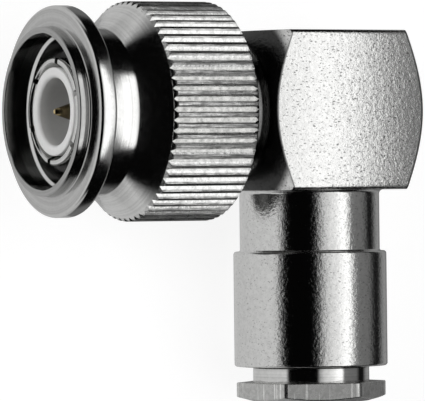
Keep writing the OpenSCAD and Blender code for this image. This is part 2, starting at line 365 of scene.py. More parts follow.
def node_adder(tree):
    """A function that adds a node to a tree, sets its attributes and sets or links its inputs."""

    def add(kind, inputs=None, **attributes):
        node = tree.nodes.new(kind)
        for key, value in attributes.items():
            setattr(node, key, value)
        for key, value in (inputs or {}).items():
            if isinstance(value, bpy.types.NodeSocket):
                tree.links.new(value, node.inputs[key])
            else:
                node.inputs[key].default_value = value
        return node

    return add


def material_tree(name):
    """A material with an empty node tree, and the function that adds a node to it."""
    material = bpy.data.materials.new(name)
    material.use_nodes = True
    material.node_tree.nodes.clear()
    return material, node_adder(material.node_tree)


def maths(add, operation, *values):
    """The result of an operation on numbers or sockets."""
    return add("ShaderNodeMath", dict(enumerate(values)), operation=operation).outputs[0]


def product(add, first, second):
    """The product of two values of a node tree."""
    return maths(add, "MULTIPLY", first, second)


def scaled(add, vector, factor):
    """A vector or a colour of a node tree, times a value."""
    inputs = {0: vector, "Scale": factor}
    return add("ShaderNodeVectorMath", inputs, operation="SCALE").outputs["Vector"]


def blend(add, factor, first, second):
    """A value between two others, by a factor."""
    inputs = {"Factor": factor, "A": first, "B": second}
    return add("ShaderNodeMix", inputs, data_type="FLOAT").outputs["Result"]


def stepped(add, value, start, end, low, high):
    """A value that goes smoothly from low to high while the given one goes from start to end."""
    inputs = {"Value": value, "From Min": start, "From Max": end, "To Min": low, "To Max": high}
    return add("ShaderNodeMapRange", inputs, interpolation_type="SMOOTHSTEP").outputs["Result"]


def mapped(add, where, scale, rotation=(0, 0, 0)):
    """A place of a texture, stretched and turned."""
    inputs = {"Vector": where, "Rotation": rotation, "Scale": scale}
    return add("ShaderNodeMapping", inputs, vector_type="POINT").outputs["Vector"]


def noise(add, where, scale, detail, roughness=0.5, dimensions="3D"):
    """Cloudy noise at a place."""
    inputs = {"Vector": where, "Scale": scale, "Detail": detail, "Roughness": roughness}
    return add("ShaderNodeTexNoise", inputs, noise_dimensions=dimensions).outputs["Fac"]


def bump(add, height, strength, distance_mm, normal=None):
    """The normal that a height bends, from the given one or from the surface's own."""
    inputs = {"Height": height, "Strength": strength, "Distance": distance_mm * MM}
    if normal:
        inputs["Normal"] = normal
    return add("ShaderNodeBump", inputs).outputs["Normal"]


def coordinates(add):
    """Object coordinates along the upright part's axes, in millimetres."""
    place = add("ShaderNodeTexCoord").outputs["Object"]
    return mapped(add, place, (1 / MM,) * 3, LAID.transposed().to_euler())


def lathe_place(add, where, axis="X"):
    """The place along the plug's or the leg's axis and the distance from it, in millimetres."""
    apart = add("ShaderNodeSeparateXYZ", {"Vector": where}).outputs
    along, across = apart["X"], apart["Y"]
    if axis == "Y":
        along, across = apart["Y"], maths(add, "SUBTRACT", apart["X"], LEG_X)
    flat = add("ShaderNodeCombineXYZ", {"X": across, "Z": apart["Z"]}).outputs["Vector"]
    return along, add("ShaderNodeVectorMath", {0: flat}, operation="LENGTH").outputs["Value"]


def painted_end_shade(add, where):
    """Painted shade on the block's ends: dark lines along its edges, and a front cone painted dark.

    The nut stands close before the cone, so the painted shade leaves the cone bright at its corners
    alone.
    """
    along, reach = lathe_place(add, where)
    kept = None
    for way, station in ((1, BLOCK_X), (-1, BLOCK_END_X)):
        start = BLOCK_END_R * BLOCK_END_SLOPE - way * station - EDGE_LINE_IN
        inward = maths(add, "MULTIPLY_ADD", along, way, start)
        lean = maths(add, "MULTIPLY_ADD", reach, -BLOCK_END_SLOPE, inward)
        line = stepped(add, maths(add, "ABSOLUTE", lean), *EDGE_LINE, EDGE_LINE_LEFT, 1.0)
        kept = product(add, kept, line) if kept else line
        if way == 1:
            on_flat = stepped(add, lean, -CONE_BLUR, 0.0, 0.0, 1.0)
            corner = stepped(add, reach, *CONE_CORNER, CONE_LEFT, 1.0)
            kept = product(add, kept, maths(add, "MAXIMUM", on_flat, corner))
    return kept


def plated(
    name, colour, roughness, waves, stains, pits=0.0, turning=None, crest=None, painted_shade_bands=(),
    painted_dark_ends=False, scored=False,
):
    """Bright plating: mottled gloss, shallow waves, dark pits and a lathe's marks.

    turning names the axis that a lathe's fine marks go around: they follow it on a wall and the
    radius on a face. crest gives the radius at which a knurl's worn and stained crests begin.
    dull lists bands of painted shade: a start and an end along the plug, and how bright the plating
    is left between them. painted_dark_ends paints shade on the block's ends, and scored adds bright
    upright scores.
    """
    material, add = material_tree(name)
    where = coordinates(add)
    mottle = noise(add, where, 2.6, 7.0, 0.7)
    shade = stepped(add, mottle, 0.32, 0.62, 1 - stains, 1.0)
    gloss = stepped(add, mottle, 0.3, 0.7, roughness * 1.3, roughness * 0.8)
    normal = bump(add, noise(add, where, 3.4, 4.0, 0.65), waves, 0.03)

    if pits:
        bent = mapped(add, where, (1.0, 2.1, 1.4), (0.3, 0.5, 0.9))
        spots = add("ShaderNodeTexVoronoi", {"Vector": bent, "Scale": 1.5}).outputs["Distance"]
        grain = noise(add, bent, 4.2, 2.0, 0.6)
        hole = product(
            add,
            stepped(add, spots, 0.09, 0.2, 1 - pits, 1.0),
            stepped(add, grain, 0.3, 0.4, 1 - pits, 1.0),
        )
        shade = product(add, shade, hole)
        normal = bump(add, hole, pits * 0.6, 0.02, normal)
    # Painted shade in bands along the plug
    for start, end, left in painted_shade_bands:
        along = lathe_place(add, where)[0]
        begun = stepped(add, along, start, start + 0.15, 1.0, left)
        ended = stepped(add, along, end, end + 0.2, left, 1.0)
        shade = product(add, shade, maths(add, "MAXIMUM", begun, ended))
    # Painted shade on the block's ends
    if painted_dark_ends:
        shade = product(add, shade, painted_end_shade(add, where))
    if scored:
        scores = noise(add, mapped(add, where, (1.0, 0.03, 1.0)), 3.6, 2.0)
        shade = product(add, shade, stepped(add, scores, 0.6, 0.64, 1.0, 1.6))
    if turning:
        along, reach = lathe_place(add, where, turning)
        flat = add("ShaderNodeCombineXYZ", {"X": along, "Y": reach}).outputs["Vector"]
        marks = noise(add, flat, 5.0, 3.0, 0.7, "2D")
        normal = bump(add, marks, 0.6, 0.006, normal)
        shade = product(add, shade, stepped(add, marks, 0.35, 0.62, 0.87, 1.0))
    if crest:
        reach = lathe_place(add, where)[1]
        streaks = noise(add, mapped(add, where, (0.16, 2.2, 2.2)), 4.0, 4.0, 0.75)
        worn = stepped(add, streaks, 0.4, 0.62, 0.32, 0.95)
        on_crest = stepped(add, reach, crest, crest + 0.08, 0.0, 1.0)
        shade = product(add, shade, blend(add, on_crest, 1.0, worn))
        gloss = product(add, gloss, stepped(add, reach, crest, crest + 0.08, 1.0, 2.8))
    metal = add("ShaderNodeBsdfPrincipled", {
        "Base Color": scaled(add, colour, shade), "Metallic": 1.0, "Roughness": gloss,
        "Normal": normal,
    })
    add("ShaderNodeOutputMaterial", {"Surface": metal.outputs["BSDF"]})
    return material


def moulded(name, colour, roughness, scatter=0.0, grain=0.12, painted_bore_shade=None):
    """A matt moulded or turned soft material with a faint grain.

    deep gives painted shade that darkens the material further along the plug: a start and an end
    along the plug, and how bright the material is left behind them.
    """
    material, add = material_tree(name)
    where = coordinates(add)
    cloud = noise(add, where, 2.5, 5.0)
    shades = add("ShaderNodeValToRGB", {"Fac": cloud})
    for element, part in zip(shades.color_ramp.elements, (0.88, 1.0)):
        element.color = (*[c * part for c in colour], 1)
    paint = shades.outputs["Color"]
    # Painted shade, darker further along the plug
    if painted_bore_shade:
        start, end, left = painted_bore_shade
        along = lathe_place(add, where)[0]
        paint = scaled(add, paint, stepped(add, along, start, end, 1.0, left))
    gloss = add("ShaderNodeMapRange", {
        "Value": cloud, "To Min": roughness * 0.85, "To Max": min(1.0, roughness * 1.2),
    })
    body = add("ShaderNodeBsdfPrincipled", {
        "Base Color": paint, "Roughness": gloss.outputs["Result"],
        "Normal": bump(add, noise(add, where, 14.0, 2.0), grain, 0.02),
        "Subsurface Weight": scatter, "Subsurface Radius": (0.4 * MM,) * 3,
        "Subsurface Scale": 1.0,
    })
    add("ShaderNodeOutputMaterial", {"Surface": body.outputs["BSDF"]})
    return material


class PlugFinishesMake(bpy.types.Operator):
    """Makes the plated, plastic and rubber finishes."""

    bl_idname = "plug.finishes"
    bl_label = "Make the finishes"

    def execute(self, context):
        f = settings("plug_finishes")
        nickel, rough = tuple(f.nickel), f.nickel_roughness
        crest = settings("plug_nut").knurl_r - CREST_DEPTH
        # Painted shade on the nut's lip, and on its rear and the spigot behind it
        FINISHES["nut"] = plated(
            "turned_nickel", nickel, rough * 1.5, 0.08, 0.05, turning="X", painted_shade_bands=NUT_SHADES
        )
        FINISHES["knurl"] = plated("knurled_nickel", nickel, rough * 1.2, 0.4, 0.3, crest=crest)
        FINISHES["block"] = plated(
            "tumbled_nickel", nickel, f.tumbled_roughness, 1.0, 0.1, 0.65, painted_dark_ends=True
        )
        FINISHES["leg"] = plated("tumbled_leg_nickel", nickel, rough * 0.8, 0.75, 0.12, 0.35)
        FINISHES["clamp"] = plated("turned_leg_nickel", nickel, rough, 0.06, 0.1, turning="Y")
        FINISHES["flats"] = plated(
            "milled_flats_nickel", (0.56, 0.56, 0.55), 0.27, 0.1, 0.2, scored=True
        )
        FINISHES["thread"] = plated("thread_nickel", (0.6, 0.6, 0.59), 0.36, 0.2, 0.2)
        FINISHES["steel"] = plated("spring_steel", (0.42, 0.42, 0.42), 0.3, 0.2, 0.2)
        # Painted shade on the pin's body behind its bright tip
        FINISHES["gold"] = plated(
            "pin_plating", tuple(f.gold), 0.16, 0.05, 0.1, turning="X", painted_shade_bands=PIN_SHADES
        )
        # Painted shade inside the dielectric's bore
        FINISHES["dielectric"] = moulded(
            "white_dielectric", tuple(f.dielectric), 0.42, 0.25, painted_bore_shade=BORE_SHADE
        )
        FINISHES["rubber"] = moulded("gasket_rubber", tuple(f.rubber), 0.6, 0.0, 0.3)
        return {"FINISHED"}


def geometry_tree(name, sockets):
    """A geometry node tree with its sockets, the function that adds a node, and its inputs."""
    tree = bpy.data.node_groups.new(name, "GeometryNodeTree")
    inputs = (("Geometry", "Geometry"), *sockets, ("Finish", "Material"))
    for way, listed in (("INPUT", inputs), ("OUTPUT", inputs[:1])):
        for socket, kind in listed:
            tree.interface.new_socket(name=socket, in_out=way, socket_type="NodeSocket" + kind)
    add = node_adder(tree)
    return add, add("NodeGroupInput").outputs


def finish_tree(add, given, geometry):
    """Ends a geometry node tree in plain geometry with its finish."""
    real = add("GeometryNodeRealizeInstances", {"Geometry": geometry}).outputs["Geometry"]
    finish = add("GeometryNodeSetMaterial", {"Geometry": real, "Material": given["Finish"]})
    add("NodeGroupOutput", {"Geometry": finish.outputs["Geometry"]})


def spiral_tree():
    """Geometry nodes for one thread ridge: a section swept along a helix."""
    names = ("Radius", "Pitch", "Turns", "Height", "Root", "Crest", "Way")
    add, given = geometry_tree("thread_ridge", [(name, "Float") for name in names])
    helix = add("GeometryNodeCurveSpiral", {
        "Resolution": 96, "Rotations": given["Turns"],
        "Start Radius": given["Radius"], "End Radius": given["Radius"],
        "Height": product(add, given["Pitch"], given["Turns"]),
    })
    upright = add("GeometryNodeSetCurveNormal", {"Curve": helix.outputs["Curve"]}, mode="Z_UP")

    away = product(add, given["Height"], given["Way"])
    sides = ((-0.5, "Root", 0.0), (0.5, "Root", 0.0), (0.5, "Crest", away), (-0.5, "Crest", away))
    points = {}
    for number, (side, width, depth) in enumerate(sides, 1):
        across = product(add, given[width], side)
        corner = add("ShaderNodeCombineXYZ", {"X": depth, "Y": across})
        points[f"Point {number}"] = corner.outputs["Vector"]
    outline = add("GeometryNodeCurvePrimitiveQuadrilateral", points, mode="POINTS")

    sweep = add("GeometryNodeCurveToMesh", {
        "Curve": upright.outputs["Curve"], "Profile Curve": outline.outputs["Curve"],
        "Fill Caps": True,
    })
    finish_tree(add, given, sweep.outputs["Mesh"])


def ring_tree():
    """Geometry nodes that set copies of one shape around the Z axis."""
    add, given = geometry_tree("set_around", (("Count", "Int"), ("First angle", "Float")))
    spots = add("GeometryNodePoints", {"Count": given["Count"]})
    index = add("GeometryNodeInputIndex").outputs["Index"]
    step = maths(add, "DIVIDE", 2 * math.pi, given["Count"])
    angle = maths(add, "MULTIPLY_ADD", index, step, given["First angle"])
    copies = add("GeometryNodeInstanceOnPoints", {
        "Points": spots.outputs[0], "Instance": given["Geometry"],
        "Rotation": add("ShaderNodeCombineXYZ", {"Z": angle}).outputs["Vector"],
    })
    finish_tree(add, given, copies.outputs["Instances"])


def grown(name, mesh, tree, values):
    """A plain mesh from a node tree with the given inputs, started from a small mesh."""
    seed = as_object(name, mesh)
    growth = seed.modifiers.new("growth", "NODES")
    growth.node_group = tree
    for item in tree.interface.items_tree:
        if item.item_type == "SOCKET" and item.in_out == "INPUT" and item.name in values:
            growth[item.identifier] = values[item.name]
    baked = evaluated(seed)
    bpy.data.objects.remove(seed)
    if not baked.polygons:
        raise RuntimeError(name + " came out with no faces")
    shape = bmesh.new()
    shape.from_mesh(baked)
    bpy.data.meshes.remove(baked)
    bmesh.ops.remove_doubles(shape, verts=shape.verts, dist=1e-5)
    bmesh.ops.recalc_face_normals(shape, faces=shape.faces)
    return shape


def thread(name, where, radius, height, pitch, span, way, finish):
    """A thread ridge on a bore or a shank, from span's first station to its last."""
    values = {
        "Radius": radius, "Pitch": pitch, "Turns": (span[1] - span[0]) / pitch,
        "Height": height, "Root": RIDGE_ROOT * pitch, "Crest": RIDGE_CREST * pitch,
        "Way": way, "Finish": FINISHES[finish],
    }
    ridge = grown(name, bmesh.new(), bpy.data.node_groups["thread_ridge"], values)
    return placed(name, ridge, where @ Matrix.Translation((0, 0, span[0])))


class PlugTrees(bpy.types.Operator):
    """Makes the node trees for threads and for what repeats around an axis."""

    bl_idname = "plug.trees"
    bl_label = "Make the node trees"

    def execute(self, context):
        spiral_tree()
        ring_tree()
        return {"FINISHED"}


def nut_section(n, body):
    """The coupling nut's section, from its lip round the outside and back along the bore."""
    bore_r = body.spigot_r + NUT_GAP
    lip_r = n.mouth_r + 0.5
    root_r = n.knurl_r - n.knurl_depth
    root_x = KNURL_X - (KNURL_X - SHOULDER_X) * n.knurl_depth / (n.knurl_r - n.waist_r)
    outside = (
        [(LIP_X, n.mouth_r + 0.05), (LIP_X, lip_r - 0.12)]
        + fillet((LIP_X, lip_r), 0.12, 180, 90, 4)
        + fillet((FLANGE_X, lip_r), 0.18, 270, 360, 5)
        + fillet((FLANGE_X, n.flange_r), 0.35, 180, 90)
        + fillet((FLANGE_BACK_X, n.flange_r), 0.25, 90, 0, 6)
        + fillet((FLANGE_BACK_X, n.waist_r), 0.2, 180, 270, 6)
        + [(SHOULDER_X - 0.2, n.waist_r), (SHOULDER_X, n.waist_r + 0.03)]
        + [(root_x, root_r), (KNURL_END_X + 0.05, root_r)]
        + [(NUT_END_X - 0.04, n.knurl_r - 0.36), (NUT_END_X, n.knurl_r - 0.42)]
    )
    groove_x, groove_end_x = RING_X - TURNING_GAP, RING_END_X + TURNING_GAP
    groove_r = RING_R + 2 * TURNING_GAP
    bore = [
        (NUT_END_X, bore_r + 0.15), (NUT_END_X - 0.15, bore_r), (groove_end_x, bore_r),
        (groove_end_x, groove_r), (groove_x, groove_r), (groove_x, bore_r),
        (SPIGOT_X + 0.32, bore_r), (SPIGOT_X - 0.2, n.thread_r), (MOUTH_END_X, n.thread_r),
        (MOUTH_END_X - 0.15, n.mouth_r), (LIP_X + 0.05, n.mouth_r),
    ]
    return outside + bore


def knurl_tooth(n):
    """One tooth of the knurl along Z, from the shoulder's cone to the rear chamfer."""
    pitch = 2 * math.pi / n.teeth
    root_r = n.knurl_r - n.knurl_depth
    flank = n.knurl_depth / n.knurl_r
    crest = pitch / 2 - flank
    lift = (KNURL_X - SHOULDER_X) * n.knurl_depth / (n.knurl_r - n.waist_r)
    worn = 0.018
    rows = [(KNURL_X - lift, root_r), (KNURL_X - 0.06, n.knurl_r - worn)]
    rows += [(KNURL_X + 0.12, n.knurl_r), (KNURL_END_X - 0.06, n.knurl_r)]
    rows += [(KNURL_END_X + 0.03, n.knurl_r - worn), (NUT_END_X - 0.08, root_r - 0.02)]
    rings = []
    for x, r in rows:
        rise = max(0.0, (r - root_r) / n.knurl_depth)
        half = pitch / 2 + (crest - pitch / 2) * rise
        low = root_r - 0.05
        edge = 0.012 * rise
        points = [(min(r, root_r), -pitch / 2 if rise else -half)]
        points += [(r - edge, -half), (r, -half + edge / r), (r, half - edge / r), (r - edge, half)]
        points += [(min(r, root_r), pitch / 2 if rise else half)]
        points += [(low, pitch / 2), (low, -pitch / 2)]
        rings.append([(p * math.cos(a), p * math.sin(a), x) for p, a in points])
    mesh = bmesh.new()
    grid = points_of(mesh, rings)
    open_side = len(grid[0]) - 3
    sides = [j for j in range(len(grid[0]) - 1) if j != open_side]
    for here, after in zip(grid, grid[1:]):
        bridge(mesh, here, after, sides)
    mesh.faces.new(grid[0])
    mesh.faces.new(grid[-1])
    clean(mesh)
    return mesh


class PlugCouplingNut(bpy.types.Operator):
    """Makes the coupling nut with its knurl and its inner thread."""

    bl_idname = "plug.coupling_nut"
    bl_label = "Make the coupling nut"

    def execute(self, context):
        n, body = settings("plug_nut"), settings("plug_body")
        shell = placed("coupling_nut_body", turned(nut_section(n, body), 256), PLUG_FRAME)
        seat(shell, "coupling_nut", "nickel_nut", "nut", "coupling_nut")
        values = {"Count": n.teeth, "First angle": math.pi / n.teeth, "Finish": FINISHES["knurl"]}
        teeth = grown("knurl", knurl_tooth(n), bpy.data.node_groups["set_around"], values)
        knurl = placed("coupling_nut_knurl", teeth, PLUG_FRAME, 20)
        seat(knurl, "coupling_nut", "nickel_nut", "knurl")
        span = (MOUTH_END_X + 0.35, SPIGOT_X - 0.55)
        ridge = thread(
            "coupling_nut_thread", PLUG_FRAME, n.thread_r + 0.01, 0.42, n.thread_pitch, span,
            -1, "thread",
        )
        seat(ridge, "coupling_nut", "nickel_nut", "thread")
        return {"FINISHED"}


def block_section(angle, body):
    """The block's section at one angle around the plug axis: a square with rounded edges."""
    half, edge = body.block_side / 2, body.block_edge
    turn = (angle + math.pi / 4) % (math.pi / 2) - math.pi / 4
    flat = abs(math.tan(turn)) * half
    if flat <= half - edge:
        reach = half / math.cos(turn)
    else:
        corner = math.hypot(half - edge, half - edge)
        off = math.pi / 4 - abs(turn)
        reach = corner * math.cos(off) + math.sqrt(edge**2 - (corner * math.sin(off)) ** 2)
    front = BLOCK_X + (reach - BLOCK_END_R) * BLOCK_END_SLOPE
    rear = BLOCK_END_X - (reach - BLOCK_END_R) * BLOCK_END_SLOPE
    ease = 0.07
    lean = ease * BLOCK_END_SLOPE
    inner = body.spigot_r - 0.2
    seat_x, seat_r = CAP_X - TURNING_GAP, CAP_R + TURNING_GAP
    return [
        (BLOCK_X + 0.4, inner), (BLOCK_X, inner), (BLOCK_X, BLOCK_END_R - 0.1),
        (BLOCK_X + 0.02, BLOCK_END_R), (BLOCK_X + 0.08, BLOCK_END_R + 0.1),
        (front - lean, reach - ease), (front, reach - 0.022), (front + ease, reach),
        (rear - ease, reach), (rear, reach - 0.022), (rear + lean, reach - ease),
        (BLOCK_END_X - 0.08, BLOCK_END_R + 0.1), (BLOCK_END_X - 0.02, BLOCK_END_R),
        (BLOCK_END_X, BLOCK_END_R - 0.1), (BLOCK_END_X, seat_r + 0.12),
        (BLOCK_END_X - 0.12, seat_r), (seat_x, seat_r), (seat_x, CHAMBER_R),
        (BLOCK_X + 0.4, CHAMBER_R),
    ]


def block_angles(body):
    """Angles around the block: close together on its rounded edges, wider on its flats."""
    half, edge = body.block_side / 2, body.block_edge
    start = math.atan2(half - edge, half)
    quarter = [-start + 2 * start * i / 24 for i in range(25)]
    quarter += [start + (math.pi / 2 - 2 * start) * i / 8 for i in range(1, 8)]
    return [math.radians(90 * k) + a for k in range(4) for a in quarter]


class PlugBlock(bpy.types.Operator):
    """Makes the angle block, its front spigot and the leg."""

    bl_idname = "plug.block"
    bl_label = "Make the block and the leg"

    def execute(self, context):
        body = settings("plug_body")
        rings = [around(block_section(a, body), a) for a in block_angles(body)]
        block = placed("block_cube", skin(rings), PLUG_FRAME, 25)
        bore = turned([(LEG_SPIGOT_V - 3, 0), (LEG_SPIGOT_V - 3, LEG_BORE_R),
                       (LEG_SPIGOT_V, LEG_BORE_R), (LEG_SPIGOT_V, LEG_SPIGOT_R),
                       (NECK_V + 1, LEG_SPIGOT_R), (NECK_V + 1, 0)], 96)
        cut_away(block, placed("leg_bore", bore, LEG_FRAME), 25)
        seat(block, "body", "nickel_block", "block", "angle_block")

        spigot = eased(
            [(SPIGOT_X, TAIL_R), (SPIGOT_X, body.spigot_r), (RING_X, body.spigot_r),
             (RING_X, RING_SEAT_R), (RING_END_X, RING_SEAT_R), (RING_END_X, body.spigot_r),
             (BLOCK_X + 0.2, body.spigot_r), (BLOCK_X + 0.2, CHAMBER_R),
             (TAIL_END_X, CHAMBER_R), (TAIL_END_X, TAIL_R)],
            0.1,
        )
        neck = placed("block_spigot", turned(spigot), PLUG_FRAME)
        seat(neck, "body", "nickel_block", "nut")

        leg = (
            [(LEG_SPIGOT_V, LEG_BORE_R), (LEG_SPIGOT_V, LEG_SPIGOT_R), (NECK_V, LEG_SPIGOT_R)]
            + [(NECK_V, body.neck_r + 0.3)]
            + fillet((NECK_V, body.neck_r), 0.3, 180, 270, 6)
            + [(SLEEVE_V - 0.1, body.neck_r), (SLEEVE_V, body.neck_r + 0.08)]
            + fillet((SLEEVE_V, body.sleeve_r), 0.22, 180, 90, 6)
            + fillet((SLEEVE_END_V, body.sleeve_r), 0.22, 90, 0, 6)
            + [(SLEEVE_END_V, LEG_THREAD_R + 0.2), (SLEEVE_END_V - 0.2, LEG_THREAD_R)]
            + [(LEG_THREAD_V, LEG_THREAD_R), (LEG_THREAD_V, LEG_SEAT_R), (SEAT_V, LEG_SEAT_R)]
            + [(SEAT_V, LEG_BORE_R)]
        )
        turned_leg = placed("leg_body", turned(leg), LEG_FRAME)
        seat(turned_leg, "body", "nickel_leg", "leg", "cable_leg")
        return {"FINISHED"}


def finger(c):
    """One finger of the outer contact, with the solid part of the tube behind its slots."""
    half = math.pi / c.fingers
    steps = 12
    rings = []
    bore_r, rim_r = CONTACT_BORE_R, c.contact_r
    rows = (
        (CONTACT_X, bore_r + 0.3, rim_r - 0.14), (CONTACT_X + 0.04, bore_r + 0.25, rim_r - 0.06),
        (CONTACT_X + 0.15, bore_r + 0.2, rim_r), (CONTACT_X + 0.5, bore_r + 0.03, rim_r),
        (CONTACT_X + 0.7, bore_r, rim_r), (SLOT_END_X - 0.001, bore_r, rim_r),
        (SLOT_END_X, bore_r, rim_r), (0.0, bore_r, rim_r), (0.0, bore_r, TAIL_R),
        (TAIL_END_X, bore_r, TAIL_R),
    )
    for x, inner, outer in rows:
        slotted = x < SLOT_END_X
        ring = []
        for r, order in ((inner, range(steps + 1)), (outer, range(steps, -1, -1))):
            cut = c.slot_width / 2 / r if slotted else 0.0
            for k in order:
                a = (half - cut) * (2 * k / steps - 1)
                ring.append((r * math.cos(a), r * math.sin(a), x))
        rings.append(ring)
    mesh = bmesh.new()
    grid = points_of(mesh, rings)
    count = len(grid[0])
    flanks = (steps, count - 1)
    for here, after in zip(grid, grid[1:]):
        slotted = after[0].co.z <= SLOT_END_X
        bridge(mesh, here, after, [j for j in range(count) if slotted or j not in flanks])
    for row in (grid[0], grid[-1]):
        for k in range(steps):
            mesh.faces.new([row[k], row[k + 1], row[count - 2 - k], row[count - 1 - k]])
    return mesh


class PlugContacts(bpy.types.Operator):
    """Makes the outer contact, the gasket, the dielectric, the pin and the snap ring."""

    bl_idname = "plug.contacts"
    bl_label = "Make the contacts"

    def execute(self, context):
        c, body = settings("plug_contacts"), settings("plug_body")
        first = math.radians(-20) + math.pi / c.fingers
        values = {"Count": c.fingers, "First angle": first, "Finish": FINISHES["nut"]}
        fingers = grown("fingers", finger(c), bpy.data.node_groups["set_around"], values)
        contact = placed("outer_contact_fingers", fingers, PLUG_FRAME)
        seat(contact, "body", "contact_plate", "nut", "outer_contact")

        ring = eased(tube(GASKET_X, SPIGOT_X, TAIL_R, body.spigot_r), 0.15)
        gasket = placed("front_gasket_ring", turned(ring), PLUG_FRAME)
        seat(gasket, "body", "grey_rubber", "rubber", "front_gasket")

        rim_x = CONTACT_X + 0.05
        cup = (
            fillet((rim_x, c.dielectric_bore_r), 0.3, 270, 180)
            + fillet((rim_x, c.dielectric_r), 0.12, 180, 90, 5)
            + [(TAIL_END_X, c.dielectric_r), (TAIL_END_X, CHAMBER_R), (11.5, CHAMBER_R)]
            + [(11.5, PIN_SHANK_R), (-0.3, PIN_SHANK_R), (-0.3, c.dielectric_bore_r)]
        )
        dielectric = placed("dielectric_cup", turned(cup), PLUG_FRAME)
        seat(dielectric, "body", "white_dielectric", "dielectric", "front_insulator")

        tip_x = CONTACT_X + 0.1
        rod = (
            [(tip_x, 0.0), (tip_x + 0.01, 0.1), (tip_x + 0.05, 0.17), (tip_x + 0.12, 0.22)]
            + [(tip_x + 1.3, c.pin_r - 0.06), (tip_x + 1.6, c.pin_r - 0.01)]
            + [(tip_x + 1.8, c.pin_r), (-0.3, c.pin_r), (-0.3, PIN_SHANK_R)]
            + [(LEG_X + 1.05, PIN_SHANK_R), (LEG_X + 1.1, PIN_SHANK_R - 0.05), (LEG_X + 1.1, 0.0)]
        )
        pin = placed("centre_pin_rod", turned(rod, 96), PLUG_FRAME)
        cut_away(pin, slot_box("pin_slot", LEG_X + 1.0, (3.2, 4, 0.95)), 35)
        seat(pin, "body", "gold_pin", "gold", "centre_pin")

        clip = bmesh.new()
        wire = eased(tube(RING_X, RING_END_X, RING_SEAT_R, RING_R), 0.06, 2)
        steps = 80
        rings = [around(wire, math.radians(320) * k / steps) for k in range(steps + 1)]
        grid = points_of(clip, rings)
        for here, after in zip(grid, grid[1:]):
            bridge(clip, here, after, range(len(here)))
        clip.faces.new(grid[0])
        clip.faces.new(grid[-1])
        bmesh.ops.recalc_face_normals(clip, faces=clip.faces)
        snap = placed("snap_ring", clip, PLUG_FRAME)
        seat(snap, "body", "steel_ring", "steel", "retaining_ring")
        return {"FINISHED"}


class PlugRearCap(bpy.types.Operator):
    """Makes the slotted rear cap and the disc in front of it."""

    bl_idname = "plug.rear_cap"
    bl_label = "Make the rear cap"

    def execute(self, context):
        lid = eased(tube(CAP_X, CAP_END_X, 0.0, CAP_R), 0.18)
        cap = placed("rear_cap_lid", turned(lid), PLUG_FRAME)
        cut_away(cap, slot_box("cap_slot", CAP_END_X, (1.4, 1.0, 10)), 35)
        seat(cap, "rear_cap", "nickel_block", "nut", "rear_cap")

        start, end = CAP_X - TURNING_GAP - 1.7, CAP_X - TURNING_GAP
        plate = eased(tube(start, end, 0.0, CHAMBER_R - TURNING_GAP), 0.12)
        disc = placed("rear_insulator_disc", turned(plate), PLUG_FRAME)
        seat(disc, "cap_disc", "white_dielectric", "dielectric", "rear_insulator")
        return {"FINISHED"}


def hex_section(angle):
    """The clamp nut's head at one angle around the leg: a hexagon with a domed outer face."""
    turn = (angle + math.pi / 6) % (math.pi / 3) - math.pi / 6
    reach = HEX_AF / 2 / math.cos(turn)
    corner = HEX_AF / 2 / math.cos(math.pi / 6)
    reach = min(reach, corner - 0.06 + 0.012 * (corner - reach))
    drop = (reach - HEX_FACE_R) * HEX_SLOPE
    return [
        (HEX_V, LEG_THREAD_R - 0.6), (HEX_V, corner - 1.0),
        (HEX_V + 0.03, reach - 0.06), (HEX_V + 0.09, reach),
        (CLAMP_END_V - drop - 0.05, reach), (CLAMP_END_V - drop + 0.01, reach - 0.05),
        (CLAMP_END_V - 0.02, HEX_FACE_R + 0.08), (CLAMP_END_V, HEX_FACE_R - 0.05),
        (CLAMP_END_V, ENTRY_R + 0.3), (CLAMP_END_V - 0.08, ENTRY_R + 0.12),
        (CLAMP_END_V - 0.25, ENTRY_R), (HEX_V, ENTRY_R),
    ]


